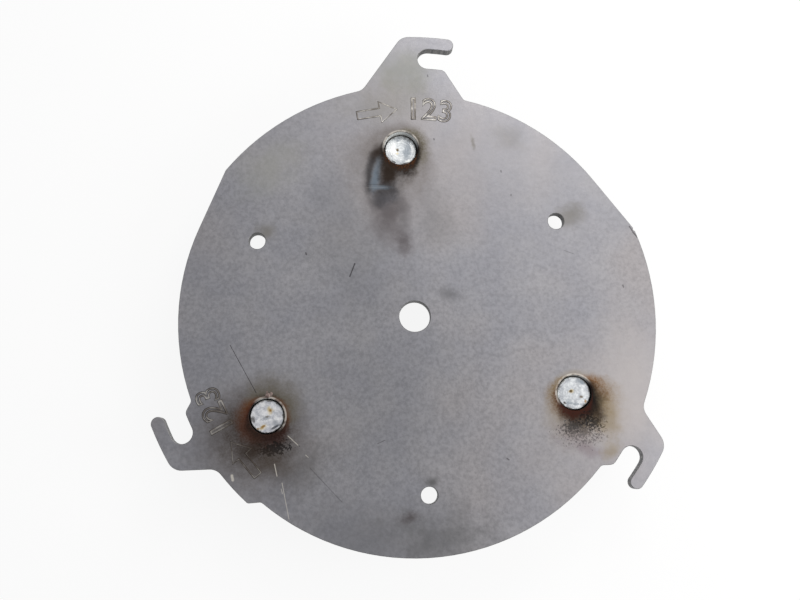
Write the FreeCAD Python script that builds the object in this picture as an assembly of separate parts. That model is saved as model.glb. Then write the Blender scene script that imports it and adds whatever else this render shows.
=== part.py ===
import FreeCAD
import Part
import math
import os

# Blower mounting plate: a flat round plate with three bayonet hooks on its rim and
# three standoff posts welded in. Millimetres and degrees. Z is up, the front face looks
# up, the top post is at +Y, and the free ends of the posts stand on z = 0.

# Plate
BASE_DIAMETER = 203.2
RIM_RISE = 4.0
PLATE_THICKNESS = 4.76
EDGE_BREAK = 0.25

# Holes of the plate
BOLT_CIRCLE = 0.75 * BASE_DIAMETER
CENTRE_HOLE_DIAMETER = 13.49
SMALL_HOLE_DIAMETER = 7.14
SMALL_HOLE_TURN = 60.0

# Hooks, with angles clockwise from the spoke of the post beside each one
SLOT_WIDTH = 9.3
SLOT_END_ANGLE = 7.45
ARM_WIDTH = 5.8
MOUTH_ANGLE = 11.3
BACK_CORNER_RADIUS = 6.5
BACK_FOOT_RADIUS = 6.0
LIP_CORNER_RADIUS = 3.0
LIP_FOOT_RADIUS = 2.2

# Ends of the raised rim
STEP_CORNER_RADIUS = 1.75
STEP_FOOT_RADIUS = 2.0
CUT_START_RADIUS = 1.0
CUT_START_DEPTH = 0.5
CUT_START_HOOK = "right"

# Standoff posts
POST_DIAMETER = 14.2
POST_CLEARANCE = 0.5
POST_REACH = 25.4
POST_FRONT_CHAMFER = 0.3
POST_FREE_CHAMFER = 0.8
TAP_BORE_DIAMETER = 5.1
TAP_BORE_DEPTH = 16.0
TAP_MOUTH_CHAMFER = 0.25
DRILL_POINT_ANGLE = 118.0

# Weld beads
BEAD_LEG = 3.2
BEAD_BULGE = 0.35

# What differs from hook to hook: the spoke of its post, how far the hook is lifted off
# the rim, the angles of its flanks, where the raised rim ends and where the edge is
# back on the base circle, and how far the post's front end lies below the front face
HOOKS = {
    "top": {
        "spoke": 90.0, "lift": 8.4, "back_foot": -8.4, "back_corner": 1.86,
        "lip_foot": 17.2, "land_end": -47.7, "land_foot": -63.5, "recess": 3.6,
    },
    "left": {
        "spoke": 210.0, "lift": 0.0, "back_foot": -3.6, "back_corner": 1.4,
        "lip_foot": 13.2, "land_end": -14.1, "land_foot": -16.3, "recess": 1.6,
    },
    "right": {
        "spoke": 330.0, "lift": 0.0, "back_foot": -3.6, "back_corner": 1.4,
        "lip_foot": 13.2, "land_end": -47.7, "land_foot": -63.5, "recess": 1.6,
    },
}

BASE_RADIUS = BASE_DIAMETER / 2
RIM_RADIUS = BASE_RADIUS + RIM_RISE
POST_RADIUS = POST_DIAMETER / 2
REAR_FACE = POST_REACH
FRONT_FACE = POST_REACH + PLATE_THICKNESS
UP = FreeCAD.Vector(0, 0, 1)


def polar(radius, angle, z=0.0):
    """A point at a radius and an angle counted anticlockwise from +X."""
    turn = math.radians(angle)
    return FreeCAD.Vector(radius * math.cos(turn), radius * math.sin(turn), z)


def hook_point(hook, radius, clockwise):
    """A point of the outline, by its angle clockwise from the spoke of a hook."""
    return polar(radius, hook["spoke"] - clockwise, REAR_FACE)


def line(start, end):
    return Part.LineSegment(start, end).toShape()


def concentric_arc(hook, radius, start, end):
    """An arc about the plate's centre between two angles clockwise from the spoke."""
    middle = hook_point(hook, radius, (start + end) / 2)
    return Part.Arc(hook_point(hook, radius, start), middle, hook_point(hook, radius, end)).toShape()


def round_end(hook, middle_radius, width, clockwise, side):
    """Half a circle across a slot or an arm; side is 1 where it bulges clockwise."""
    centre = hook_point(hook, middle_radius, clockwise)
    onward = polar(width / 2, hook["spoke"] - clockwise - 90 * side)
    outer = hook_point(hook, middle_radius + width / 2, clockwise)
    inner = hook_point(hook, middle_radius - width / 2, clockwise)
    return outer, centre + onward, inner


def hook_radii(hook):
    """Inner and outer radius of a hook's slot, and the outer radius of its arm."""
    slot_inner = RIM_RADIUS + hook["lift"]
    slot_outer = slot_inner + SLOT_WIDTH
    return slot_inner, slot_outer, slot_outer + ARM_WIDTH


def hook_edges(hook):
    """The outline clockwise from the start of the raised rim to the foot of the lip."""
    slot_inner, slot_outer, arm_outer = hook_radii(hook)
    land_foot = hook_point(hook, BASE_RADIUS, hook["land_foot"])
    land_end = hook_point(hook, RIM_RADIUS, hook["land_end"])
    back_foot = hook_point(hook, RIM_RADIUS, hook["back_foot"])
    back_corner = hook_point(hook, arm_outer, hook["back_corner"])
    lip_corner = hook_point(hook, slot_inner, MOUTH_ANGLE)
    lip_foot = hook_point(hook, BASE_RADIUS, hook["lip_foot"])
    arm_end = round_end(hook, slot_outer + ARM_WIDTH / 2, ARM_WIDTH, MOUTH_ANGLE, 1)
    slot_end = round_end(hook, slot_inner + SLOT_WIDTH / 2, SLOT_WIDTH, SLOT_END_ANGLE, -1)
    return [
        line(land_foot, land_end),
        concentric_arc(hook, RIM_RADIUS, hook["land_end"], hook["back_foot"]),
        line(back_foot, back_corner),
        concentric_arc(hook, arm_outer, hook["back_corner"], MOUTH_ANGLE),
        Part.Arc(*arm_end).toShape(),
        concentric_arc(hook, slot_outer, MOUTH_ANGLE, SLOT_END_ANGLE),
        Part.Arc(*slot_end).toShape(),
        concentric_arc(hook, slot_inner, SLOT_END_ANGLE, MOUTH_ANGLE),
        line(lip_corner, lip_foot),
    ]


def base_edge(hook, next_hook):
    """The stretch of base circle from a hook's lip to the next hook's raised rim."""
    spacing = (hook["spoke"] - next_hook["spoke"]) % 360
    return concentric_arc(hook, BASE_RADIUS, hook["lip_foot"], spacing + next_hook["land_foot"])


def outline():
    """The closed outline of the plate, hook after hook, clockwise."""
    hooks = sorted(HOOKS.values(), key=lambda hook: -hook["spoke"])
    edges = []
    for index, hook in enumerate(hooks):
        edges += hook_edges(hook)
        edges.append(base_edge(hook, hooks[(index + 1) % len(hooks)]))
    return Part.Wire(edges)


def corner_edge(solid, point):
    """The upright edge of the plate that stands on a corner of the outline."""
    uprights = [e for e in solid.Edges if abs(e.Vertexes[0].Z - e.Vertexes[-1].Z) > PLATE_THICKNESS / 2]
    return min(uprights, key=lambda e: e.Vertexes[0].Point.distanceToLine(point, UP))


def round_corners(solid, hook):
    """Rounds the flanks of one hook where they leave and meet the circles."""
    slot_inner, _, arm_outer = hook_radii(hook)
    rounds = [
        (arm_outer, hook["back_corner"], BACK_CORNER_RADIUS),
        (RIM_RADIUS, hook["back_foot"], BACK_FOOT_RADIUS),
        (slot_inner, MOUTH_ANGLE, LIP_CORNER_RADIUS),
        (BASE_RADIUS, hook["lip_foot"], LIP_FOOT_RADIUS),
    ]
    if is_step(hook):
        rounds.append((RIM_RADIUS, hook["land_end"], STEP_CORNER_RADIUS))
        rounds.append((BASE_RADIUS, hook["land_foot"], STEP_FOOT_RADIUS))
    for circle, clockwise, radius in rounds:
        corner = hook_point(hook, circle, clockwise)
        solid = solid.makeFillet(radius, [corner_edge(solid, corner)])
    return solid


def is_step(hook):
    """True where the raised rim ends in a short step and not in a long run-out."""
    return hook["land_end"] - hook["land_foot"] < 5.0


def upright_hole(diameter, radius=0.0, angle=0.0):
    return Part.makeCylinder(diameter / 2, PLATE_THICKNESS, polar(radius, angle, REAR_FACE), UP)


def cut_start():
    """The small scallop left where the cutting of the outline began and ended."""
    circle = RIM_RADIUS + CUT_START_RADIUS - CUT_START_DEPTH
    hook = HOOKS[CUT_START_HOOK]
    return upright_hole(2 * CUT_START_RADIUS, circle, hook["spoke"] - hook["land_end"])


def mounting_plate():
    """The plate: outline, rounded corners, holes, and a broken edge all round."""
    solid = Part.Face(outline()).extrude(UP * PLATE_THICKNESS)
    for hook in HOOKS.values():
        solid = round_corners(solid, hook)
    solid = solid.cut(cut_start())
    solid = solid.cut(upright_hole(CENTRE_HOLE_DIAMETER))
    for hook in HOOKS.values():
        post_hole_diameter = POST_DIAMETER + 2 * POST_CLEARANCE
        solid = solid.cut(upright_hole(post_hole_diameter, BOLT_CIRCLE / 2, hook["spoke"]))
        small_angle = hook["spoke"] + SMALL_HOLE_TURN
        solid = solid.cut(upright_hole(SMALL_HOLE_DIAMETER, BOLT_CIRCLE / 2, small_angle))
    return broken_edges(solid)


def broken_edges(solid):
    """Takes the sharpness off every edge of the two flat faces."""
    flat = [e for e in solid.Edges if e.BoundBox.ZLength < EDGE_BREAK]
    return solid.makeChamfer(EDGE_BREAK, flat)


def tapped_bore():
    """The blind bore in a post's free end, with its drill point and chamfered mouth."""
    bore_radius = TAP_BORE_DIAMETER / 2
    point_height = bore_radius / math.tan(math.radians(DRILL_POINT_ANGLE / 2))
    profile = Part.makePolygon([
        FreeCAD.Vector(0, 0, 0),
        FreeCAD.Vector(bore_radius + TAP_MOUTH_CHAMFER, 0, 0),
        FreeCAD.Vector(bore_radius, 0, TAP_MOUTH_CHAMFER),
        FreeCAD.Vector(bore_radius, 0, TAP_BORE_DEPTH),
        FreeCAD.Vector(0, 0, TAP_BORE_DEPTH + point_height),
        FreeCAD.Vector(0, 0, 0),
    ])
    return Part.Face(profile).revolve(FreeCAD.Vector(0, 0, 0), UP, 360)


def standoff_post(hook):
    """A round post, chamfered at both ends and bored at the free end."""
    front_end = FRONT_FACE - hook["recess"]
    profile = Part.makePolygon([
        FreeCAD.Vector(0, 0, 0),
        FreeCAD.Vector(POST_RADIUS - POST_FREE_CHAMFER, 0, 0),
        FreeCAD.Vector(POST_RADIUS, 0, POST_FREE_CHAMFER),
        FreeCAD.Vector(POST_RADIUS, 0, front_end - POST_FRONT_CHAMFER),
        FreeCAD.Vector(POST_RADIUS - POST_FRONT_CHAMFER, 0, front_end),
        FreeCAD.Vector(0, 0, front_end),
        FreeCAD.Vector(0, 0, 0),
    ])
    post = Part.Face(profile).revolve(FreeCAD.Vector(0, 0, 0), UP, 360)
    post = post.cut(tapped_bore())
    post.translate(polar(BOLT_CIRCLE / 2, hook["spoke"]))
    return post


def weld_bead(hook):
    """A ring of fillet weld in the corner between a post and the plate's rear face."""
    on_plate = FreeCAD.Vector(POST_RADIUS + BEAD_LEG, 0, REAR_FACE)
    on_post = FreeCAD.Vector(POST_RADIUS, 0, REAR_FACE - BEAD_LEG)
    root = FreeCAD.Vector(POST_RADIUS, 0, REAR_FACE)
    outward = FreeCAD.Vector(1, 0, -1).normalize()
    crown = (on_plate + on_post) * 0.5 + outward * BEAD_BULGE
    profile = Part.makePolygon([root, on_plate, crown, on_post, root])
    bead = Part.Face(profile).revolve(FreeCAD.Vector(0, 0, 0), UP, 360)
    bead.translate(polar(BOLT_CIRCLE / 2, hook["spoke"]))
    return bead


def build():
    nodes = {"mounting_plate": mounting_plate()}
    for name, hook in HOOKS.items():
        nodes["post_" + name] = standoff_post(hook)
        nodes["weld_" + name] = weld_bead(hook)
    return nodes


os.makedirs("parts", exist_ok=True)
for node, shape in build().items():
    shape.exportStep("parts/" + node + ".step")
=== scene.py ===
import math
import random
from collections import namedtuple

import bmesh
import bpy
from mathutils import Matrix, Vector


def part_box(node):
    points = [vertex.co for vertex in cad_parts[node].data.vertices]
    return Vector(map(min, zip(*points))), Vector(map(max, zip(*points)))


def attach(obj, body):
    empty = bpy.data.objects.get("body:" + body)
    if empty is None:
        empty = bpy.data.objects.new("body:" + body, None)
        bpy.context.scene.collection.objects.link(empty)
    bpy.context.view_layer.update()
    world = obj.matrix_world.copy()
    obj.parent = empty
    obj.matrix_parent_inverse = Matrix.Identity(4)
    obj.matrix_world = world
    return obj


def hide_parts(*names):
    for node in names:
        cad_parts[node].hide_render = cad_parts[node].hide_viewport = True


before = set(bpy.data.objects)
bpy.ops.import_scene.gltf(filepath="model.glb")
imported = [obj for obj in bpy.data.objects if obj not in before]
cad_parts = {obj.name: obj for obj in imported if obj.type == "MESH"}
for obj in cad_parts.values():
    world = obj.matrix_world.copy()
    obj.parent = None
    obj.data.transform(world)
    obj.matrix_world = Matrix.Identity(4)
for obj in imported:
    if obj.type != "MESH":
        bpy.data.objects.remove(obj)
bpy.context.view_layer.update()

# Looks of the blower mounting plate. Places are metres in the shared frame, unless a
# comment says millimetres. The plate's front face looks up and the top post is at +Y.

MM = 0.001

# The photograph's camera, worked out from the plate's outline and holes
CAMERA_PLACE = (-0.02738, -0.05893, 0.42622)
CAMERA_TURN_DEGREES = (9.735, -2.351, -4.480)
CAMERA_LENS = 41.70
CAMERA_SENSOR = 36.0

# Sizes that the frame's boxes give
PLATE_LOW, PLATE_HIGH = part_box("mounting_plate")
FRONT_FACE = PLATE_HIGH.z
REAR_FACE = PLATE_LOW.z
POSTS = ("top", "left", "right")

# Sizes of the part that no box gives
TAP_BORE_RADIUS = 2.55 * MM
THREAD_PITCH = 1.27 * MM
THREAD_HEIGHT = 0.32 * MM
THREAD_LENGTH = 13.5 * MM
THREAD_START = 0.8 * MM
POST_HOLE_RADIUS = 7.6 * MM
CENTRE_HOLE_RADIUS = 6.745 * MM
SMALL_HOLE_RADIUS = 3.57 * MM
SMALL_HOLE_CIRCLE = 76.2 * MM
SMALL_HOLE_ANGLES = (30, 150, 270)
# The side, in degrees from +X, where each post hole's wall is painted lit
PAINTED_LIT_WALL_SIDE = {"top": 95, "left": 38, "right": 120}


def post_box(name):
    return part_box("post_" + name)


def post_centre(name):
    """The point on a post's axis at the height of the plate's front face."""
    low, high = post_box(name)
    return Vector(((low.x + high.x) / 2, (low.y + high.y) / 2, FRONT_FACE))


def half_width(node):
    low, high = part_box(node)
    return (high.x - low.x) / 2


POST_RADIUS = half_width("post_top")
WELD_LEG = half_width("weld_top") - POST_RADIUS


def round_axis(centre, radius, turn, height):
    """A point at a radius and a turn round a post's axis."""
    return Vector((centre.x + radius * math.cos(turn), centre.y + radius * math.sin(turn), height))


def bolt_holes():
    """Centre and radius of the centre hole and of the three small bolt holes."""
    holes = [(0.0, 0.0, CENTRE_HOLE_RADIUS)]
    for angle in SMALL_HOLE_ANGLES:
        centre = round_axis(Vector(), SMALL_HOLE_CIRCLE, math.radians(angle), 0.0)
        holes.append((centre.x, centre.y, SMALL_HOLE_RADIUS))
    return holes


def srgb(red, green, blue):
    """A colour written as 8-bit screen numbers, turned into the linear values Blender uses."""
    linear = []
    for part in (red, green, blue):
        level = part / 255
        linear.append(level / 12.92 if level <= 0.04045 else ((level + 0.055) / 1.055) ** 2.4)
    return (*linear, 1.0)


# Colours of the plate
STEEL_DARK = srgb(142, 142, 148)
STEEL_LIGHT = srgb(151, 150, 154)
STEEL_WARM = srgb(152, 147, 147)
# A paler steel, laid at the plate's right edge as painted light
PAINTED_LIGHT_STEEL = srgb(174, 168, 166)
STEEL_METALLIC = 0.72
CUT_WALL = srgb(84, 84, 86)
CUT_WALL_STREAK = srgb(126, 125, 124)
# Post-hole walls: painted reflection on the lit side, soot and painted shade on the other, a painted
# highlight on the rim
HOLE_WALL_PAINTED_LIT = srgb(232, 235, 233)
HOLE_WALL_SOOT_AND_SHADE = srgb(44, 38, 36)
HOLE_LIP_HIGHLIGHT = srgb(196, 191, 184)
# Walls of the centre and small holes, painted dark as shade
SMALL_HOLE_SHADE = srgb(52, 51, 53)
SMALL_HOLE_SHADE_RING = srgb(86, 85, 86)
# Edge colours: worn metal with painted sheen and shade
EDGE_SHEEN = srgb(170, 169, 168)
EDGE_SHADE = srgb(92, 92, 94)

# Colours of stains, soot and marks
SOOT = srgb(15, 12, 11)
SOOT_BROWN = srgb(43, 31, 22)
SOOT_GREY = srgb(62, 60, 62)
BURNT_RED = srgb(72, 32, 20)
RUST = srgb(116, 70, 34)
GOLD = srgb(122, 98, 56)
TAN = srgb(144, 130, 104)
WARM_HALO = srgb(106, 98, 90)
BROWN_HALO = srgb(73, 62, 51)
OLIVE = srgb(104, 98, 78)
BLUE_GREY = srgb(112, 124, 136)
SLATE = srgb(82, 85, 93)
BROWN_SHADE = srgb(94, 88, 90)
PURPLE_GREY = srgb(116, 104, 114)
GREEN_GREY = srgb(150, 151, 141)
# A grey laid over the steel as painted shade
PAINTED_SHADE_GREY = srgb(88, 88, 88)
DARK_MARK = srgb(40, 38, 40)
BRIGHT_SCRATCH = srgb(206, 201, 192)

# Temper colours of steel, by the share of the way from the weld to cold metal
TEMPER_COLOURS = {
    0.0: srgb(58, 56, 58), 0.25: srgb(74, 84, 104), 0.48: srgb(98, 84, 98),
    0.68: srgb(146, 112, 74), 1.0: srgb(176, 160, 128),
}
PLATE_HEAT_START = 9.5 * MM
PLATE_HEAT_REACH = 13.0 * MM
POST_HEAT_REACH = 8.0 * MM

# Scorching that spreads from the rim of a post's hole, longest in one direction. Lengths
# are millimetres, the direction is degrees from +X.
Scorch = namedtuple("Scorch", "post direction near far focus breakup speckle colour strength")
SCORCHES = [
    Scorch("top", 236, 7.0, 28.0, 1.6, 0.30, 0.15, WARM_HALO, 0.60),
    Scorch("top", 352, 0.8, 7.5, 2.0, 0.40, 0.40, OLIVE, 0.80),
    Scorch("top", 246, 0.8, 12.0, 4.0, 0.36, 0.20, SOOT_BROWN, 0.95),
    Scorch("top", 300, 0.8, 3.8, 1.5, 0.30, 0.20, SOOT_BROWN, 0.92),
    Scorch("top", 250, 0.8, 7.8, 2.8, 0.34, 0.10, SOOT, 1.00),
    Scorch("top", 258, 0.1, 4.2, 6.0, 0.55, 0.90, RUST, 0.50),
    Scorch("left", 236, 13.0, 38.0, 1.4, 0.24, 0.15, BROWN_HALO, 0.72),
    Scorch("left", 60, 1.0, 16.0, 2.5, 0.30, 0.20, OLIVE, 0.55),
    Scorch("left", 238, 3.0, 22.0, 2.6, 0.30, 0.30, SOOT_BROWN, 0.88),
    Scorch("left", 192, 0.8, 8.0, 3.5, 0.28, 0.20, RUST, 0.72),
    Scorch("left", 345, 0.6, 3.6, 2.0, 0.30, 0.20, RUST, 0.72),
    Scorch("left", 248, 1.2, 9.5, 2.2, 0.28, 0.20, BURNT_RED, 0.90),
    Scorch("left", 262, 0.4, 7.5, 3.0, 0.36, 0.20, SOOT, 0.82),
    Scorch("right", 290, 4.0, 22.0, 1.5, 0.26, 0.15, TAN, 0.50),
    Scorch("right", 326, 0.5, 16.0, 4.0, 0.40, 0.30, GOLD, 0.85),
    Scorch("right", 340, 0.4, 10.0, 4.0, 0.40, 0.40, RUST, 0.75),
    Scorch("right", 206, 0.4, 8.0, 3.0, 0.40, 0.35, GOLD, 0.85),
    Scorch("right", 312, 0.4, 9.5, 3.4, 0.30, 0.14, SOOT_BROWN, 0.98),
    Scorch("right", 288, 0.4, 12.0, 4.0, 0.44, 0.10, SOOT, 1.00),
    Scorch("right", 246, 0.3, 7.0, 3.2, 0.36, 0.35, BURNT_RED, 0.85),
]

# A soft patch: its place and half sizes in millimetres, its turn in degrees, how soft its
# rim is, how much a noise breaks it up and how fine that noise is.
Patch = namedtuple("Patch", "x y half_x half_y turn softness breakup fineness colour strength")

# Broad faint painted shade, one patch of painted light at the right edge, and three faint stains of the bare
# steel, all under the scorching
PAINTED_SHADES_AND_STAINS = [
    Patch(-16.0, -34.0, 54.0, 62.0, 0, 0.98, 0.40, 50, PAINTED_SHADE_GREY, 0.20),
    Patch(-24.0, 34.0, 32.0, 52.0, 12, 0.98, 0.50, 60, PAINTED_SHADE_GREY, 0.26),
    Patch(12.0, 44.0, 13.0, 22.0, 6, 0.98, 0.60, 90, PAINTED_SHADE_GREY, 0.28),
    Patch(5.0, -94.0, 28.0, 20.0, -6, 0.98, 0.90, 110, PAINTED_SHADE_GREY, 0.52),
    Patch(-50.0, -60.0, 18.0, 15.0, 20, 0.98, 0.60, 80, PAINTED_SHADE_GREY, 0.42),
    # Painted light at the plate's right edge
    Patch(88.0, -38.0, 30.0, 46.0, -18, 0.98, 0.50, 60, PAINTED_LIGHT_STEEL, 0.50),
    Patch(-2.0, 98.0, 34.0, 15.0, 0, 0.98, 0.60, 90, OLIVE, 0.30),
    Patch(65.0, -55.0, 13.0, 9.0, 0, 0.95, 0.80, 300, PURPLE_GREY, 0.45),
    Patch(69.5, -62.5, 9.0, 5.0, -28, 0.95, 0.60, 240, PURPLE_GREY, 0.50),
]

# Stains and smears of the front face, with painted shade along the bottom and beside the bottom and centre
# holes, over the scorching
PATCHES = [
    Patch(-8.0, 47.5, 12.5, 19.0, 10, 0.90, 0.50, 110, BROWN_SHADE, 0.78),
    Patch(-1.2, 43.0, 4.6, 17.0, -3, 0.98, 0.60, 150, SOOT_GREY, 0.32),
    Patch(-3.0, 33.0, 6.0, 9.0, 10, 0.98, 0.70, 180, BROWN_SHADE, 0.70),
    Patch(-9.5, 54.5, 9.0, 6.0, 0, 0.95, 0.80, 190, SLATE, 0.58),
    Patch(-7.5, 58.5, 9.0, 9.5, 20, 0.95, 0.70, 200, SOOT_GREY, 0.85),
    Patch(-12.0, 52.0, 4.5, 6.0, -20, 0.95, 0.60, 150, SOOT_GREY, 0.55),
    Patch(-15.2, 63.5, 3.2, 14.0, -8, 0.95, 0.45, 200, SOOT_GREY, 0.88),
    Patch(-13.0, 71.6, 3.4, 6.5, -24, 0.95, 0.40, 230, SOOT_GREY, 0.85),
    Patch(-11.0, 75.0, 4.0, 6.0, -35, 0.95, 0.35, 220, SOOT_BROWN, 0.80),
    Patch(-12.2, 64.0, 2.9, 10.5, -14, 0.90, 0.40, 220, BLUE_GREY, 0.85),
    Patch(-10.5, 58.6, 6.5, 1.5, -4, 0.90, 0.50, 300, BLUE_GREY, 0.65),
    Patch(-6.5, 65.0, 5.8, 7.0, 10, 0.70, 0.50, 220, SOOT_BROWN, 0.92),
    Patch(-63.5, -52.0, 5.5, 2.6, 6, 0.20, 3.00, 800, SOOT, 0.80),
    Patch(-73.0, -52.0, 9.0, 5.0, 15, 0.90, 0.60, 200, SOOT_BROWN, 0.70),
    Patch(-66.0, -58.0, 14.0, 8.0, 0, 0.95, 0.50, 120, BROWN_HALO, 0.55),
    Patch(72.0, -51.0, 4.6, 3.0, -25, 0.30, 3.20, 1000, SOOT, 0.80),
    Patch(64.0, -52.0, 4.6, 2.2, 10, 0.20, 3.50, 1000, SOOT, 0.60),
    Patch(67.0, -55.0, 6.0, 3.4, 0, 0.20, 4.50, 1200, SOOT_GREY, 0.50),
    Patch(78.0, -64.5, 5.0, 4.6, 0, 0.95, 0.60, 220, TAN, 0.55),
    Patch(80.0, -51.0, 6.5, 14.0, 8, 0.95, 0.70, 180, TAN, 0.55),
    Patch(75.6, -48.4, 4.2, 4.6, 20, 0.90, 0.60, 300, SOOT_BROWN, 0.70),
    Patch(72.5, 40.0, 10.0, 8.0, 25, 0.95, 0.50, 180, OLIVE, 0.40),
    Patch(-61.9, 42.0, 7.0, 6.0, 25, 0.95, 0.50, 180, OLIVE, 0.45),
    # Painted shade beside the bottom small hole and the centre hole
    Patch(1.4, -70.8, 5.0, 3.4, 0, 0.95, 0.60, 220, PAINTED_SHADE_GREY, 0.75),
    Patch(16.0, 8.6, 7.0, 4.0, -20, 0.95, 0.70, 220, PAINTED_SHADE_GREY, 0.45),
    Patch(48.0, 78.0, 12.0, 8.0, -30, 0.95, 0.60, 160, OLIVE, 0.16),
    Patch(32.4, 76.5, 1.3, 5.0, 8, 0.95, 0.60, 500, OLIVE, 0.34),
    Patch(-80.0, -50.0, 22.0, 20.0, 0, 0.98, 0.50, 60, BROWN_HALO, 0.22),
    Patch(4.0, 113.0, 20.0, 14.0, 0, 0.95, 0.60, 90, GREEN_GREY, 0.45),
    Patch(-58.0, 72.0, 26.0, 14.0, 35, 0.95, 0.60, 80, GREEN_GREY, 0.35),
    Patch(-8.9, -84.7, 6.0, 3.8, 0, 0.90, 0.70, 240, BROWN_SHADE, 0.85),
    # Painted shade along the bottom of the plate
    Patch(-24.0, -92.0, 52.0, 22.0, -8, 0.98, 0.40, 60, PAINTED_SHADE_GREY, 0.34),
]

# Scratches and knocks of the front face: start and end in millimetres, half width,
# colour and strength. The strong ones are deep enough to feel.
DEEP_SCRATCH = 0.80
FRONT_SCRATCHES = [
    (-79.9, -6.7, -69.9, -27.9, 0.22, DARK_MARK, 0.80),
    (-24.3, 25.0, -26.8, 19.6, 0.42, DARK_MARK, 0.75),
    (-45.2, 31.4, -45.1, 30.6, 0.45, DARK_MARK, 0.65),
    (15.0, 79.6, 15.1, 79.2, 0.45, DARK_MARK, 0.60),
    (43.7, 62.9, 43.8, 62.2, 0.40, DARK_MARK, 0.55),
    (47.2, 51.5, 47.1, 51.0, 0.40, DARK_MARK, 0.50),
    (92.5, 7.2, 92.6, 6.3, 0.45, DARK_MARK, 0.55),
    (34.2, -63.6, 34.8, -64.1, 0.45, DARK_MARK, 0.55),
    (-49.1, -61.0, -36.7, -76.0, 0.24, DARK_MARK, 0.35),
    (68.2, 24.6, 72.1, 22.8, 0.25, DARK_MARK, 0.30),
    (-20.2, -53.2, -16.9, -51.9, 0.28, DARK_MARK, 0.40),
    (14.6, 109.9, 14.7, 109.2, 0.40, DARK_MARK, 0.50),
    (98.6, 33.4, 99.6, 31.4, 0.45, DARK_MARK, 0.60),
    (99.8, 30.8, 101.4, 28.4, 0.45, DARK_MARK, 0.70),
    (-57.5, -47.0, -53.6, -51.1, 0.26, BRIGHT_SCRATCH, 0.70),
    (-50.6, -55.5, -49.6, -56.5, 0.24, BRIGHT_SCRATCH, 0.60),
    (-63.8, -58.2, -63.0, -63.2, 0.26, BRIGHT_SCRATCH, 0.85),
    (-61.1, -66.2, -59.1, -81.1, 0.20, BRIGHT_SCRATCH, 0.75),
    (-61.6, -68.6, -61.2, -70.6, 0.22, BRIGHT_SCRATCH, 0.60),
    (-81.7, -61.6, -81.4, -63.4, 0.80, BRIGHT_SCRATCH, 0.90),
    (-16.6, 59.0, -7.4, 58.5, 0.24, BRIGHT_SCRATCH, 0.08),
    (-16.2, 60.3, -9.0, 60.0, 0.24, DARK_MARK, 0.35),
]


def fill_inputs(tree, node, values):
    """Sets a node's inputs to values, or links them to sockets."""
    for name, value in values.items():
        if isinstance(value, bpy.types.NodeSocket):
            tree.links.new(value, node.inputs[name])
        else:
            node.inputs[name].default_value = value


def add(tree, kind, values=None, **settings):
    """A node with its settings and its filled inputs."""
    made = tree.nodes.new(kind)
    for name, setting in settings.items():
        setattr(made, name, setting)
    fill_inputs(tree, made, values or {})
    return made


def sums(tree, operation, first, second=0.0, clamp=False):
    return add(tree, "ShaderNodeMath", {0: first, 1: second}, operation=operation, use_clamp=clamp).outputs[0]


def times(tree, value, *factors):
    for factor in factors:
        value = sums(tree, "MULTIPLY", value, factor)
    return value


def vectors(tree, operation, first, second=(0, 0, 0), out="Vector"):
    return add(tree, "ShaderNodeVectorMath", {0: first, 1: second}, operation=operation).outputs[out]


def length(tree, vector):
    return vectors(tree, "LENGTH", vector, out="Value")


def level_offset(tree, place, centre):
    """The way from a centre to the place, with the height left out."""
    return vectors(tree, "MULTIPLY", vectors(tree, "SUBTRACT", place, centre), (1, 1, 0))


def height_of(tree, vector):
    return add(tree, "ShaderNodeSeparateXYZ", {0: vector}).outputs["Z"]


def blend_colours(tree, amount, under, over):
    """The Mix node of two colours; its colour sockets are numbers 6 and 7."""
    return add(tree, "ShaderNodeMix", {0: amount, 6: under, 7: over}, data_type="RGBA").outputs[2]


def scaled_by(tree, vector, level):
    """A vector or a colour with its three parts multiplied by a level."""
    return add(tree, "ShaderNodeVectorMath", {0: vector, "Scale": level}, operation="SCALE").outputs[0]


def blend_values(tree, amount, low, high):
    return add(tree, "ShaderNodeMix", {0: amount, 2: low, 3: high}, data_type="FLOAT").outputs[0]


def slope(tree, value, start, end, low=0.0, high=1.0):
    """Runs smoothly from low to high while the value goes from start to end."""
    values = {"Value": value, "From Min": start, "From Max": end, "To Min": low, "To Max": high}
    return add(tree, "ShaderNodeMapRange", values, interpolation_type="SMOOTHSTEP").outputs["Result"]


def noise(tree, place, scale, detail=3.0, roughness=0.55):
    values = {"Vector": place, "Scale": scale, "Detail": detail, "Roughness": roughness}
    return add(tree, "ShaderNodeTexNoise", values).outputs["Fac"]


def new_group(name, inputs, outputs):
    """An empty shader group with named sockets; inputs give each one's kind and value."""
    tree = bpy.data.node_groups.new(name, "ShaderNodeTree")
    for socket, (kind, value) in inputs.items():
        made = tree.interface.new_socket(socket, in_out="INPUT", socket_type=kind)
        made.default_value = value
    for socket, kind in outputs.items():
        tree.interface.new_socket(socket, in_out="OUTPUT", socket_type=kind)
    return tree, tree.nodes.new("NodeGroupInput").outputs, tree.nodes.new("NodeGroupOutput").inputs


FLOAT, VECTOR, COLOUR = "NodeSocketFloat", "NodeSocketVector", "NodeSocketColor"


def make_metal_grain():
    """Cloudy mottling and fine grain of bare metal."""
    inputs = {"Place": (VECTOR, (0, 0, 0)), "Cloud Scale": (FLOAT, 40.0), "Grain Scale": (FLOAT, 600.0)}
    tree, given, result = new_group("metal_grain", inputs, {"Cloud": FLOAT, "Grain": FLOAT})
    cloud = noise(tree, given["Place"], given["Cloud Scale"], 4.0, 0.6)
    grain = noise(tree, given["Place"], given["Grain Scale"], 3.0, 0.65)
    tree.links.new(slope(tree, cloud, 0.30, 0.70), result["Cloud"])
    tree.links.new(slope(tree, grain, 0.28, 0.72), result["Grain"])
    return tree


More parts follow.
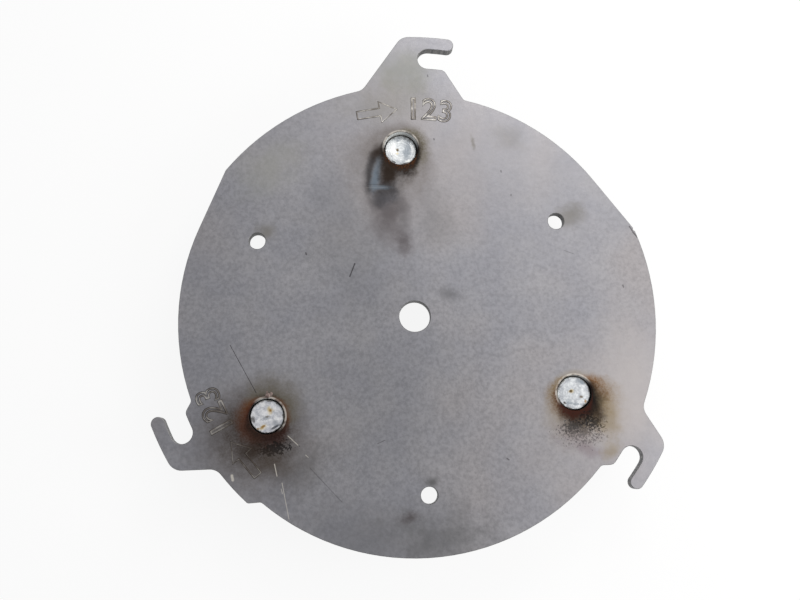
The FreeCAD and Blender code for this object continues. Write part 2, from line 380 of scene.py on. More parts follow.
def make_stain_and_shade_patch():
    """A soft oval patch whose rim is broken up by noise."""
    inputs = {
        "Place": (VECTOR, (0, 0, 0)), "Centre": (VECTOR, (0, 0, 0)), "Half Size": (VECTOR, (1, 1, 1)),
        "Turn": (FLOAT, 0.0), "Softness": (FLOAT, 0.5),
        "Breakup": (FLOAT, 0.3), "Breakup Scale": (FLOAT, 260.0),
    }
    tree, given, result = new_group("stain_and_shade_patch", inputs, {"Mask": FLOAT})
    offset = vectors(tree, "SUBTRACT", given["Place"], given["Centre"])
    values = {"Vector": offset, "Angle": given["Turn"]}
    turned = add(tree, "ShaderNodeVectorRotate", values, rotation_type="Z_AXIS").outputs[0]
    scaled = vectors(tree, "DIVIDE", turned, given["Half Size"])
    rough = sums(tree, "SUBTRACT", noise(tree, given["Place"], given["Breakup Scale"], 4.0, 0.65), 0.5)
    ragged = sums(tree, "ADD", length(tree, scaled), times(tree, given["Breakup"], 2.0, rough))
    inner = sums(tree, "SUBTRACT", 1.0, given["Softness"])
    tree.links.new(slope(tree, ragged, inner, 1.05, 1.0, 0.0), result["Mask"])
    return tree


def make_scorch():
    """Scorching round a hole: dense at its rim, and reaching furthest where it aims."""
    inputs = {
        "Place": (VECTOR, (0, 0, 0)), "Centre": (VECTOR, (0, 0, 0)), "Aim": (VECTOR, (1, 0, 0)),
        "Rim Radius": (FLOAT, 0.0076), "Near Reach": (FLOAT, 0.002), "Far Reach": (FLOAT, 0.01),
        "Focus": (FLOAT, 2.0), "Breakup": (FLOAT, 0.3), "Speckle": (FLOAT, 0.1),
    }
    tree, given, result = new_group("scorch", inputs, {"Mask": FLOAT})
    offset = level_offset(tree, given["Place"], given["Centre"])
    lean = vectors(tree, "DOT_PRODUCT", vectors(tree, "NORMALIZE", offset), given["Aim"], "Value")
    toward = sums(tree, "POWER", slope(tree, lean, -1.0, 1.0), given["Focus"])
    reach = blend_values(tree, toward, given["Near Reach"], given["Far Reach"])
    distance = sums(tree, "SUBTRACT", length(tree, offset), given["Rim Radius"])
    wander = sums(tree, "SUBTRACT", noise(tree, given["Place"], 230.0, 5.0, 0.65), 0.5)
    wander = times(tree, given["Breakup"], 2.0, wander)
    share = sums(tree, "ADD", sums(tree, "DIVIDE", distance, reach), wander)
    grit = slope(tree, noise(tree, given["Place"], 1300.0, 2.0, 0.7), 0.40, 0.60)
    kept = blend_values(tree, given["Speckle"], 1.0, grit)
    tree.links.new(times(tree, slope(tree, share, 0.0, 1.0, 1.0, 0.0), kept), result["Mask"])
    return tree


def make_scratch_line():
    """A thin straight mark between two points, a little uneven along its length."""
    inputs = {
        "Place": (VECTOR, (0, 0, 0)), "Start": (VECTOR, (0, 0, 0)), "End": (VECTOR, (0, 0, 0)),
        "Half Width": (FLOAT, 0.0003),
    }
    tree, given, result = new_group("scratch_line", inputs, {"Mask": FLOAT})
    along = vectors(tree, "SUBTRACT", given["End"], given["Start"])
    offset = vectors(tree, "SUBTRACT", given["Place"], given["Start"])
    share = sums(
        tree, "DIVIDE",
        vectors(tree, "DOT_PRODUCT", offset, along, "Value"),
        vectors(tree, "DOT_PRODUCT", along, along, "Value"),
        clamp=True,
    )
    distance = length(tree, vectors(tree, "SUBTRACT", offset, scaled_by(tree, along, share)))
    uneven = blend_values(tree, noise(tree, given["Place"], 900.0), 0.5, 1.5)
    width = times(tree, given["Half Width"], uneven)
    core = times(tree, width, 0.35)
    tree.links.new(slope(tree, distance, core, width, 1.0, 0.0), result["Mask"])
    return tree


def make_facing():
    """Masks of the flat front and rear, the upright walls, the broken edges and all that looks up."""
    sides = {"Front": FLOAT, "Rear": FLOAT, "Wall": FLOAT, "Edge": FLOAT, "Upward": FLOAT}
    tree, _, result = new_group("facing", {}, sides)
    normal = add(tree, "ShaderNodeNewGeometry").outputs["True Normal"]
    height = height_of(tree, normal)
    steep = sums(tree, "ABSOLUTE", height)
    tree.links.new(slope(tree, height, 0.85, 0.95), result["Front"])
    tree.links.new(slope(tree, height, -0.85, -0.95), result["Rear"])
    tree.links.new(slope(tree, height, 0.25, 0.50), result["Upward"])
    tree.links.new(slope(tree, steep, 0.35, 0.25), result["Wall"])
    not_flat = slope(tree, steep, 0.95, 0.85)
    tree.links.new(times(tree, not_flat, slope(tree, steep, 0.25, 0.35)), result["Edge"])
    return tree


def make_heat_tint():
    """Temper colours round a weld, by the distance from it: slate, blue, brown, straw."""
    inputs = {"Distance": (FLOAT, 0.0), "Reach": (FLOAT, 0.012), "Place": (VECTOR, (0, 0, 0))}
    tree, given, result = new_group("heat_tint", inputs, {"Tint": COLOUR, "Amount": FLOAT})
    wander = times(tree, sums(tree, "SUBTRACT", noise(tree, given["Place"], 120.0), 0.5), 0.35)
    share = sums(tree, "ADD", sums(tree, "DIVIDE", given["Distance"], given["Reach"]), wander)
    bands = add(tree, "ShaderNodeValToRGB", {"Fac": share})
    ramp = bands.color_ramp
    ramp.elements[0].color = TEMPER_COLOURS[0.0]
    ramp.elements[1].color = TEMPER_COLOURS[1.0]
    for position in (0.25, 0.48, 0.68):
        ramp.elements.new(position).color = TEMPER_COLOURS[position]
    tree.links.new(bands.outputs["Color"], result["Tint"])
    tree.links.new(slope(tree, share, 0.55, 1.0, 1.0, 0.0), result["Amount"])
    return tree


METAL_GRAIN = make_metal_grain()
STAIN_AND_SHADE_PATCH = make_stain_and_shade_patch()
SCORCH = make_scorch()
SCRATCH_LINE = make_scratch_line()
FACING = make_facing()
HEAT_TINT = make_heat_tint()


def place_group(tree, group, values=None):
    made = tree.nodes.new("ShaderNodeGroup")
    made.node_tree = group
    fill_inputs(tree, made, values or {})
    return made.outputs


def new_material(name):
    material = bpy.data.materials.new(name)
    material.use_nodes = True
    tree = material.node_tree
    return material, tree, tree.nodes["Principled BSDF"]


def place_on_part(tree):
    return add(tree, "ShaderNodeTexCoord").outputs["Object"]


def set_surface(tree, shader, values, relief):
    """Fills the shader's inputs, and gives it a relief: its strength, its depth and its height."""
    strength, depth, height = relief
    bump = add(tree, "ShaderNodeBump", {"Strength": strength, "Distance": depth, "Height": height})
    fill_inputs(tree, shader, {**values, "Normal": bump.outputs[0]})


def distance_from_posts(tree, place):
    """Distance from the nearest post's axis, the same at every height."""
    nearest = None
    for name in POSTS:
        distance = length(tree, level_offset(tree, place, post_centre(name)))
        nearest = distance if nearest is None else sums(tree, "MINIMUM", nearest, distance)
    return nearest


def scorch_mask(tree, place, scorch):
    aim = math.radians(scorch.direction)
    centre = post_centre(scorch.post)
    return place_group(tree, SCORCH, {
        "Place": place, "Centre": centre, "Aim": (math.cos(aim), math.sin(aim), 0),
        "Rim Radius": POST_HOLE_RADIUS, "Near Reach": scorch.near * MM, "Far Reach": scorch.far * MM,
        "Focus": scorch.focus, "Breakup": scorch.breakup, "Speckle": scorch.speckle,
    })["Mask"]


def patch_mask(tree, place, patch, level=FRONT_FACE):
    return place_group(tree, STAIN_AND_SHADE_PATCH, {
        "Place": place, "Centre": (patch.x * MM, patch.y * MM, level),
        "Half Size": (patch.half_x * MM, patch.half_y * MM, 1), "Turn": math.radians(-patch.turn),
        "Softness": patch.softness, "Breakup": patch.breakup, "Breakup Scale": patch.fineness,
    })["Mask"]


def front_stains_and_painted_shade(tree, place, colour, front):
    """Lays the painted shade and light and the stains of the front face over a colour; also gives how stained
    it is.
    """
    stained = 0.0
    for stain_or_shade in PAINTED_SHADES_AND_STAINS + SCORCHES + PATCHES:
        mask_of = scorch_mask if isinstance(stain_or_shade, Scorch) else patch_mask
        amount = times(tree, mask_of(tree, place, stain_or_shade), stain_or_shade.strength, front)
        colour = blend_colours(tree, amount, colour, stain_or_shade.colour)
        # The broad painted shade and light leave the steel's roughness alone
        if stain_or_shade not in PAINTED_SHADES_AND_STAINS:
            stained = sums(tree, "MAXIMUM", amount, stained)
    return colour, stained


def front_scratches(tree, place, colour, front):
    """Lays the scratches of the front face over a colour; also gives a mask of the deep ones."""
    deep = 0.0
    for x0, y0, x1, y1, half_width, mark, strength in FRONT_SCRATCHES:
        mask = place_group(tree, SCRATCH_LINE, {
            "Place": place, "Start": (x0 * MM, y0 * MM, FRONT_FACE), "End": (x1 * MM, y1 * MM, FRONT_FACE),
            "Half Width": half_width * MM,
        })["Mask"]
        amount = times(tree, mask, strength, front)
        colour = blend_colours(tree, amount, colour, mark)
        if strength >= DEEP_SCRATCH:
            deep = sums(tree, "MAXIMUM", amount, deep)
    return colour, deep


def bolt_hole_mask(tree, place):
    """The walls of the centre hole and of the three small bolt holes."""
    mask = 0.0
    for x, y, radius in bolt_holes():
        distance = length(tree, level_offset(tree, place, (x, y, 0)))
        mask = sums(tree, "MAXIMUM", slope(tree, distance, radius + 1.0 * MM, radius + 0.5 * MM), mask)
    return mask


def shaded_drilled_wall(tree, place):
    """Drilled wall painted dark as shade, with faint rings."""
    flattened = vectors(tree, "MULTIPLY", place, (0.05, 0.05, 1.0))
    rings = slope(tree, noise(tree, flattened, 900.0), 0.40, 0.65)
    return blend_colours(tree, rings, SMALL_HOLE_SHADE, SMALL_HOLE_SHADE_RING)


def painted_lit_side(tree, place):
    """The side of each post hole whose wall and rim are painted light, as a painted reflection."""
    bright = 0.0
    for name in POSTS:
        turn = math.radians(PAINTED_LIT_WALL_SIDE[name])
        offset = level_offset(tree, place, post_centre(name))
        lean = vectors(tree, "DOT_PRODUCT", offset, (math.cos(turn), math.sin(turn), 0), "Value")
        near = slope(tree, length(tree, offset), 12 * MM, 10 * MM)
        sided = times(tree, near, slope(tree, lean, -1.5 * MM, 4.0 * MM))
        bright = sums(tree, "MAXIMUM", sided, bright)
    return bright


def plate_finish():
    """Bare mill steel with cut walls, heat stains, soot, scratches and worn edges, with painted shade,
    painted light and painted reflections in its colour.
    """
    material, tree, shader = new_material("plate_mill_steel")
    place = place_on_part(tree)
    facing = place_group(tree, FACING)
    grain = place_group(tree, METAL_GRAIN, {"Place": place, "Cloud Scale": 38.0, "Grain Scale": 640.0})
    colour = blend_colours(tree, grain["Cloud"], STEEL_DARK, STEEL_LIGHT)
    warm = slope(tree, noise(tree, place, 17.0, 2.0), 0.45, 0.75, 0.0, 0.6)
    colour = blend_colours(tree, warm, colour, STEEL_WARM)
    fine = blend_values(tree, grain["Grain"], 0.90, 1.09)
    mottle = slope(tree, noise(tree, place, 330.0, 3.0), 0.30, 0.70, 0.97, 1.03)
    colour = scaled_by(tree, colour, times(tree, fine, mottle))

    from_post = distance_from_posts(tree, place)
    drawn_down = vectors(tree, "MULTIPLY", place, (1.0, 1.0, 0.05))
    streaks = slope(tree, noise(tree, drawn_down, 1300.0, 3.0), 0.35, 0.70)
    wall = blend_colours(tree, streaks, CUT_WALL, CUT_WALL_STREAK)
    # The centre and small holes' walls are painted dark as shade, with faint rings
    wall = blend_colours(tree, bolt_hole_mask(tree, place), wall, shaded_drilled_wall(tree, place))
    in_post_hole = slope(tree, from_post, POST_HOLE_RADIUS + 1.2 * MM, POST_HOLE_RADIUS + 0.6 * MM)
    lit_side = painted_lit_side(tree, place)
    # Post-hole walls: painted reflection on one side, soot and painted shade on the other
    wall = blend_colours(tree, in_post_hole, wall, blend_colours(tree, lit_side, HOLE_WALL_SOOT_AND_SHADE, HOLE_WALL_PAINTED_LIT))
    colour = blend_colours(tree, facing["Wall"], colour, wall)
    # The broken edges take a noisy mix of sheen and shade: partly wear, partly painted highlight and shade
    edge = blend_colours(tree, noise(tree, place, 300.0, 3.0), EDGE_SHADE, EDGE_SHEEN)
    colour = blend_colours(tree, times(tree, facing["Edge"], 0.8), colour, edge)

    colour, stained = front_stains_and_painted_shade(tree, place, colour, facing["Upward"])
    # A broken painted highlight on each post hole's rim, on its lit side
    lip = slope(tree, from_post, POST_HOLE_RADIUS + 1.1 * MM, POST_HOLE_RADIUS + 0.6 * MM)
    broken = slope(tree, noise(tree, place, 420.0, 3.0), 0.35, 0.55, 0.25, 0.85)
    colour = blend_colours(tree, times(tree, lip, lit_side, facing["Upward"], broken), colour, HOLE_LIP_HIGHLIGHT)
    colour, deep = front_scratches(tree, place, colour, facing["Front"])
    from_bead = sums(tree, "SUBTRACT", from_post, PLATE_HEAT_START)
    heat = place_group(tree, HEAT_TINT, {"Distance": from_bead, "Reach": PLATE_HEAT_REACH, "Place": place})
    heated = times(tree, heat["Amount"], facing["Rear"], 0.85)
    colour = blend_colours(tree, heated, colour, heat["Tint"])

    dull = sums(tree, "MAXIMUM", stained, heated)
    roughness = blend_values(tree, grain["Grain"], 0.46, 0.60)
    pale_wall = times(tree, in_post_hole, facing["Wall"])
    values = {
        "Base Color": colour, "Roughness": blend_values(tree, dull, roughness, 0.80),
        "Metallic": blend_values(tree, pale_wall, STEEL_METALLIC, 0.20),
    }
    cut_lines = times(tree, facing["Wall"], 1.2, streaks)
    height = sums(tree, "ADD", times(tree, grain["Grain"], 0.25), cut_lines)
    set_surface(tree, shader, values, (0.35, 0.12 * MM, sums(tree, "SUBTRACT", height, deep)))
    return material


# Colours of the posts, each end with its bright and its shaded tone; the left end's tones are painted
# lighter, as painted light
ZINC_BRIGHT = srgb(222, 225, 226)
ZINC_SHADE = srgb(176, 181, 185)
END_TONES_WITH_PAINTED_LIGHT = {
    "top": (srgb(228, 231, 232), srgb(174, 179, 184)),
    "left": (srgb(252, 252, 253), srgb(204, 206, 213)),
    "right": (srgb(220, 223, 225), srgb(178, 182, 188)),
}
ZINC_RIM = srgb(112, 108, 104)
BORE_DARK = srgb(96, 94, 90)
PIT_BROWN = srgb(92, 74, 42)
END_RINGS = {"top": 0.20, "left": 0.05, "right": 0.07}
RUST_SPOT = srgb(158, 118, 54)
RUST_BLOOM = srgb(214, 196, 150)
GREY_SMEAR = srgb(138, 146, 154)
# A white smear, partly a painted highlight
WHITE_SMEAR_AND_HIGHLIGHT = srgb(240, 241, 240)

# Blotches, pits and rust on the posts' front ends, with the top end's white smears partly painted highlights
END_PATCHES = {
    "top": [
        Patch(-3.2, 77.0, 2.6, 4.6, 0, 0.80, 0.50, 500, WHITE_SMEAR_AND_HIGHLIGHT, 0.90),
        Patch(2.6, 75.8, 2.4, 6.0, -12, 0.70, 0.70, 500, GREY_SMEAR, 0.80),
        Patch(3.6, 70.9, 2.2, 1.4, 30, 0.70, 0.50, 700, WHITE_SMEAR_AND_HIGHLIGHT, 0.90),
        Patch(5.4, 77.5, 0.9, 3.4, 12, 0.70, 0.70, 700, WHITE_SMEAR_AND_HIGHLIGHT, 0.80),
        Patch(-1.4, 76.6, 0.95, 1.15, 20, 0.80, 0.50, 900, PIT_BROWN, 0.95),
        Patch(-1.6, 75.0, 0.90, 0.70, 0, 0.90, 0.40, 900, RUST_BLOOM, 0.70),
        Patch(-0.9, 81.0, 0.9, 0.7, 4, 0.70, 0.60, 900, GREY_SMEAR, 0.90),
        Patch(1.2, 69.9, 2.4, 0.6, 12, 0.50, 0.60, 900, SOOT_BROWN, 0.85),
        Patch(-3.6, 71.2, 1.4, 0.6, -35, 0.50, 0.60, 900, SOOT_BROWN, 0.75),
    ],
    "left": [
        Patch(-66.8, -38.6, 2.8, 1.4, 10, 0.80, 0.90, 700, GREY_SMEAR, 0.60),
        Patch(-62.6, -41.0, 2.0, 2.4, 20, 0.80, 0.90, 500, GREY_SMEAR, 0.45),
        Patch(-64.7, -35.6, 1.9, 2.2, 20, 0.80, 0.80, 600, RUST_BLOOM, 0.85),
        Patch(-64.5, -35.6, 0.9, 1.3, 20, 0.80, 0.70, 900, RUST_SPOT, 0.95),
        Patch(-68.2, -42.5, 2.6, 1.2, 25, 0.80, 0.90, 700, RUST_BLOOM, 0.90),
        Patch(-67.9, -42.3, 1.6, 0.7, 25, 0.70, 0.90, 900, RUST_SPOT, 0.95),
        Patch(-70.2, -43.0, 0.8, 0.6, 25, 0.70, 0.90, 900, RUST_SPOT, 0.80),
        Patch(-65.9, -38.2, 1.3, 0.5, 10, 0.70, 0.90, 900, PIT_BROWN, 0.60),
        Patch(-63.0, -42.9, 2.6, 0.7, 25, 0.50, 0.50, 900, SLATE, 0.90),
        Patch(-71.8, -39.0, 0.9, 1.8, 10, 0.60, 0.80, 900, SOOT_BROWN, 0.70),
    ],
    "right": [
        Patch(64.9, -37.2, 1.70, 1.20, 10, 0.80, 0.60, 900, RUST_BLOOM, 0.80),
        Patch(64.7, -37.2, 1.00, 0.90, 10, 0.60, 0.60, 900, PIT_BROWN, 0.95),
        Patch(69.0, -39.9, 1.00, 0.70, 0, 0.70, 0.60, 900, PIT_BROWN, 0.80),
        Patch(69.6, -33.4, 3.2, 1.4, -42, 0.80, 0.60, 600, GREY_SMEAR, 0.95),
        Patch(63.5, -41.5, 2.2, 1.4, -30, 0.80, 0.80, 600, GREY_SMEAR, 0.50),
        Patch(65.0, -42.6, 4.4, 0.8, -12, 0.80, 2.20, 900, GREY_SMEAR, 0.75),
        Patch(70.6, -42.0, 0.6, 1.0, 0, 0.60, 0.70, 900, RUST_SPOT, 0.80),
        Patch(61.6, -42.0, 0.9, 0.6, -40, 0.60, 0.80, 900, SOOT_BROWN, 0.80),
    ],
}


# Pitches of the saw rings on a post's end and of the turning marks on its side
END_RING_PITCH = 1.1 * MM
TURNING_PITCH = 0.45 * MM


def waves(tree, value, pitch):
    return sums(tree, "SINE", times(tree, value, 2 * math.pi / pitch))


def post_finish(name):
    """Zinc-plated turned steel: blotched ends with saw rings and pits, sides burnt by the weld."""
    material, tree, shader = new_material("post_zinc_" + name)
    place = place_on_part(tree)
    facing = place_group(tree, FACING)
    grain = place_group(tree, METAL_GRAIN, {"Place": place, "Cloud Scale": 420.0, "Grain Scale": 1500.0})
    blotched = blend_values(tree, facing["Front"], 0.35, 1.0)
    cloudless = sums(tree, "SUBTRACT", 1.0, grain["Cloud"])
    blotch = sums(tree, "SUBTRACT", 1.0, times(tree, blotched, cloudless))
    # The left end's lighter tones are painted light
    bright, shade = END_TONES_WITH_PAINTED_LIGHT[name]
    side_tone = blend_colours(tree, blotch, ZINC_SHADE, ZINC_BRIGHT)
    end_tone = blend_colours(tree, blotch, shade, bright)
    colour = blend_colours(tree, facing["Front"], side_tone, end_tone)
    colour = scaled_by(tree, colour, blend_values(tree, grain["Grain"], 0.88, 1.05))

    front_end = post_box(name)[1].z
    from_axis = length(tree, level_offset(tree, place, post_centre(name)))
    rings = waves(tree, from_axis, END_RING_PITCH)
    ring_shade = times(tree, slope(tree, rings, 0.2, 1.0, 0.0, END_RINGS[name]), facing["Front"])
    colour = blend_colours(tree, ring_shade, colour, GREY_SMEAR)
    for patch in END_PATCHES[name]:
        amount = times(tree, patch_mask(tree, place, patch, front_end), patch.strength, facing["Front"])
        colour = blend_colours(tree, amount, colour, patch.colour)
    height = height_of(tree, place)
    nibble = times(tree, sums(tree, "SUBTRACT", noise(tree, place, 650.0, 3.0), 0.5), 3.2 * MM)
    near_rim = slope(tree, sums(tree, "ADD", from_axis, nibble), POST_RADIUS - 0.7 * MM, POST_RADIUS)
    near_end = slope(tree, height, front_end - 1.0 * MM, front_end - 0.5 * MM)
    colour = blend_colours(tree, times(tree, near_rim, near_end, 0.85), colour, ZINC_RIM)

    below_bead = sums(tree, "SUBTRACT", REAR_FACE - WELD_LEG, height)
    heat = place_group(tree, HEAT_TINT, {"Distance": below_bead, "Reach": POST_HEAT_REACH, "Place": place})
    heated = times(tree, heat["Amount"], facing["Wall"], 0.8)
    colour = blend_colours(tree, heated, colour, heat["Tint"])
    # The post's sides inside the plate's hole are painted soot-black: partly soot, partly painted shade in
    # the narrow gap
    inside_plate = slope(tree, height, REAR_FACE - 0.5 * MM, REAR_FACE + 0.5 * MM)
    colour = blend_colours(tree, times(tree, inside_plate, facing["Wall"]), colour, SOOT)
    in_bore = slope(tree, from_axis, TAP_BORE_RADIUS + 0.35 * MM, TAP_BORE_RADIUS + 0.15 * MM)
    in_bore = times(tree, in_bore, slope(tree, height, REAR_FACE, REAR_FACE - 2 * MM))
    colour = blend_colours(tree, in_bore, colour, BORE_DARK)

    roughness = blend_values(tree, grain["Cloud"], 0.34, 0.50)
    values = {
        "Base Color": colour, "Roughness": blend_values(tree, heated, roughness, 0.6),
        "Metallic": blend_values(tree, heated, 0.70, 0.35),
    }
    turned = times(tree, facing["Wall"], 0.12, waves(tree, height, TURNING_PITCH))
    relief = sums(tree, "ADD", turned, times(tree, grain["Grain"], 0.5))
    relief = sums(tree, "ADD", relief, times(tree, facing["Front"], 0.15, rings))
    set_surface(tree, shader, values, (0.3, 0.1 * MM, relief))
    return material


# Colours of the weld metal, the engraved lines and the scorched drop
WELD_DARK = srgb(92, 88, 86)
WELD_LIGHT = srgb(132, 126, 118)
WELD_SLAG = srgb(86, 62, 44)
WELD_BLUE = srgb(78, 88, 110)
# The engraved lines' flanks, painted dark as shade
LINE_FLANK_PAINTED_SHADE = srgb(48, 45, 44)
LINE_DULL = srgb(118, 113, 110)
LINE_BRIGHT = srgb(190, 187, 183)
DROP_DARK = srgb(62, 44, 40)
DROP_PALE = srgb(158, 140, 134)


def bead_finish():
    """Weld metal: grey-brown with a slaggy bloom and bluish crests."""
    material, tree, shader = new_material("weld_metal_finish")
    place = place_on_part(tree)
    grain = place_group(tree, METAL_GRAIN, {"Place": place, "Cloud Scale": 260.0, "Grain Scale": 1400.0})
    colour = blend_colours(tree, grain["Cloud"], WELD_DARK, WELD_LIGHT)
    bloom = slope(tree, noise(tree, place, 420.0, 4.0, 0.7), 0.55, 0.72)
    colour = blend_colours(tree, times(tree, bloom, 0.6), colour, WELD_SLAG)
    blue = slope(tree, noise(tree, place, 160.0, 2.0), 0.50, 0.70, 0.0, 0.5)
    values = {
        "Base Color": blend_colours(tree, blue, colour, WELD_BLUE),
        "Roughness": blend_values(tree, bloom, 0.38, 0.75),
        "Metallic": blend_values(tree, bloom, 0.80, 0.20),
    }
    set_surface(tree, shader, values, (0.4, 0.1 * MM, grain["Grain"]))
    return material


def groove_finish():
    """Engraved line: bright where it is not worn, painted dark at its flanks as shade, stained as the plate
    is.
    """
    material, tree, shader = new_material("engraved_line_finish")
    place = place_on_part(tree)
    normal = add(tree, "ShaderNodeNewGeometry").outputs["Normal"]
    crown = slope(tree, height_of(tree, normal), 0.972, 0.997)
    worn = slope(tree, noise(tree, place, 210.0, 3.0), 0.38, 0.62)
    line = blend_colours(tree, worn, LINE_DULL, LINE_BRIGHT)
    # Flanks that lean away from straight up are painted dark as shade; the crown keeps the line's colour
    colour = blend_colours(tree, crown, LINE_FLANK_PAINTED_SHADE, line)
    colour, stained = front_stains_and_painted_shade(tree, place, colour, 0.8)
    roughness = blend_values(tree, stained, 0.45, 0.75)
    values = {"Base Color": colour, "Roughness": roughness, "Metallic": STEEL_METALLIC}
    grain = place_group(tree, METAL_GRAIN, {"Place": place, "Cloud Scale": 500.0, "Grain Scale": 1600.0})
    set_surface(tree, shader, values, (0.3, 0.05 * MM, grain["Grain"]))
    return material


def burr_finish():
    """A scorched drop of metal."""
    material, tree, shader = new_material("scorched_drop_finish")
    place = place_on_part(tree)
    grain = place_group(tree, METAL_GRAIN, {"Place": place, "Cloud Scale": 700.0, "Grain Scale": 2200.0})
    colour = blend_colours(tree, grain["Cloud"], DROP_DARK, DROP_PALE)
    roughness = blend_values(tree, grain["Grain"], 0.40, 0.65)
    values = {"Base Color": colour, "Roughness": roughness, "Metallic": 0.5}
    set_surface(tree, shader, values, (0.5, 0.1 * MM, grain["Grain"]))
    return material


def new_piece(name, mesh, material):
    """A mesh as a piece of the part, with its finish, riding on the part's one body."""
    piece = bpy.data.objects.new(name, mesh)
    bpy.context.scene.collection.objects.link(piece)
    mesh.materials.append(material)
    for face in mesh.polygons:
        face.use_smooth = True
    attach(piece, "root")
    return piece


def round_off(piece):
    """Smooths a piece's coarse lumps with finer faces."""
    finer = piece.modifiers.new("finer_faces", "SUBSURF")
    finer.levels = 1
    finer.render_levels = 1


def ring_mesh(name, rows, closed_rows=True):
    """A mesh from rows of points, each row joined to the next all the way round."""
    mesh = bpy.data.meshes.new(name)
    width = len(rows[0])
    points = [point for row in rows for point in row]
    faces = []
    last = len(rows) if closed_rows else len(rows) - 1
    for row in range(last):
        following = (row + 1) % len(rows)
        for column in range(width):
            beside = (column + 1) % width
            faces.append((
                row * width + column, row * width + beside,
                following * width + beside, following * width + column,
            ))
    if not closed_rows:
        faces.append(tuple(reversed(range(width))))
        faces.append(tuple((len(rows) - 1) * width + column for column in range(width)))
    mesh.from_pydata(points, [], faces)
    tidy_normals(mesh)
    return mesh


def tidy_normals(mesh):
    work = bmesh.new()
    work.from_mesh(mesh)
    bmesh.ops.recalc_face_normals(work, faces=work.faces)
    work.to_mesh(mesh)
    work.free()


# The weld bead's ripples
RIPPLE_COUNT = 34
RIPPLE_HEIGHT = 0.40 * MM
RIPPLE_CURVE = 1.1
BEAD_BULGE = 0.45 * MM
STEPS_ROUND = 272
STEPS_ACROSS = 9


def bead_point(centre, turn, across):
    """A point of the bead's rippled face, from the plate's toe at 0 to the post's toe at 1."""
    wander = 0.10 * MM * math.sin(3 * turn + centre.x * 900)
    wander += 0.06 * MM * math.sin(7 * turn + centre.y * 700)
    phase = turn / (2 * math.pi) * RIPPLE_COUNT + RIPPLE_CURVE * (2 * across - 1) ** 2
    crest = (phase - math.floor(phase)) ** 1.5
    rise = math.sin(math.pi * across)
    lift = rise * (BEAD_BULGE + RIPPLE_HEIGHT * (crest - 0.5))
    reach = (WELD_LEG + wander) * (1 - across) + lift * math.sqrt(0.5)
    drop = (WELD_LEG + wander) * across + lift * math.sqrt(0.5)
    return round_axis(centre, POST_RADIUS + reach, turn, REAR_FACE - drop)


def make_weld_bead(name, finish):
    """The ring of rippled weld that stands for the plain ring round a post."""
    centre = post_centre(name)
    rows = []
    for step in range(STEPS_ROUND):
        turn = 2 * math.pi * step / STEPS_ROUND
        row = [bead_point(centre, turn, across / STEPS_ACROSS) for across in range(STEPS_ACROSS + 1)]
        rows.append([round_axis(centre, POST_RADIUS, turn, REAR_FACE)] + row)
    piece = new_piece("bead_" + name, ring_mesh("bead_" + name, rows), finish)
    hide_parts("weld_" + name)
    return piece


THREAD_STEPS = 36


def make_bore_thread(name):
    """The screw thread inside a post's free end, as one ridge wound up the bore."""
    centre = post_centre(name)
    root = TAP_BORE_RADIUS + 0.03 * MM
    crest = TAP_BORE_RADIUS - THREAD_HEIGHT
    profile = ((root, -0.42), (crest, -0.07), (crest, 0.07), (root, 0.42))
    turns = THREAD_LENGTH / THREAD_PITCH
    rows = []
    for step in range(int(turns * THREAD_STEPS) + 1):
        turn = 2 * math.pi * step / THREAD_STEPS
        height = THREAD_START + THREAD_PITCH * step / THREAD_STEPS
        rows.append([
            round_axis(centre, radius, turn, height + shift * THREAD_PITCH) for radius, shift in profile
        ])
    return ring_mesh("thread_" + name, rows, closed_rows=False)


LUMP_ROUGHNESS = 0.10


def add_lump(work, centre, size, squash, seed):
    """Adds one small drop of metal, uneven and flattened, to a bmesh."""
    rough = random.Random(seed)
    made = bmesh.ops.create_icosphere(work, subdivisions=2, radius=size)
    for vertex in made["verts"]:
        vertex.co *= 1 + rough.uniform(-LUMP_ROUGHNESS, LUMP_ROUGHNESS)
        vertex.co.z *= squash
        vertex.co += centre


SPATTER_COUNT = 16
SPATTER_NEAR = 12.5 * MM
SPATTER_FAR = 25.0 * MM
SPATTER_LIMIT = 100.0 * MM
SPATTER_SIZES = (0.25 * MM, 0.7 * MM)
SPATTER_SQUASH = 0.6


def make_spatter(name, seed):
    """Drops of weld spatter on the plate's rear face round one post."""
    scatter = random.Random(seed)
    centre = post_centre(name)
    work = bmesh.new()
    for index in range(SPATTER_COUNT):
        turn = scatter.uniform(0, 2 * math.pi)
        reach = SPATTER_NEAR + (SPATTER_FAR - SPATTER_NEAR) * scatter.random() ** 1.8
        size = scatter.uniform(*SPATTER_SIZES)
        place = round_axis(centre, reach, turn, REAR_FACE)
        if place.xy.length < SPATTER_LIMIT:
            add_lump(work, place, size, SPATTER_SQUASH, seed * 100 + index)
    mesh = bpy.data.meshes.new("spatter_" + name)
    work.to_mesh(mesh)
    work.free()
    return mesh


# The lumps of the scorched drop: direction in degrees, reach from the post's axis and
# size in millimetres, and how flat each is
DROP_LUMPS = ((84, 8.8, 1.35, 0.46), (76, 9.6, 1.15, 0.44), (86, 10.3, 0.80, 0.50), (93, 8.4, 0.70, 0.45))
DROP_SINK = 0.30 * MM
DROP_SEED = 40


def make_edge_drop():
    """The scorched drop on the rim of the left post's hole, beside the front face."""
    centre = post_centre("left")
    work = bmesh.new()
    for index, (angle, reach, size, squash) in enumerate(DROP_LUMPS):
        place = round_axis(centre, reach * MM, math.radians(angle), FRONT_FACE - DROP_SINK)
        add_lump(work, place, size * MM, squash, DROP_SEED + index)
    mesh = bpy.data.meshes.new("edge_drop")
    work.to_mesh(mesh)
    work.free()
    return mesh


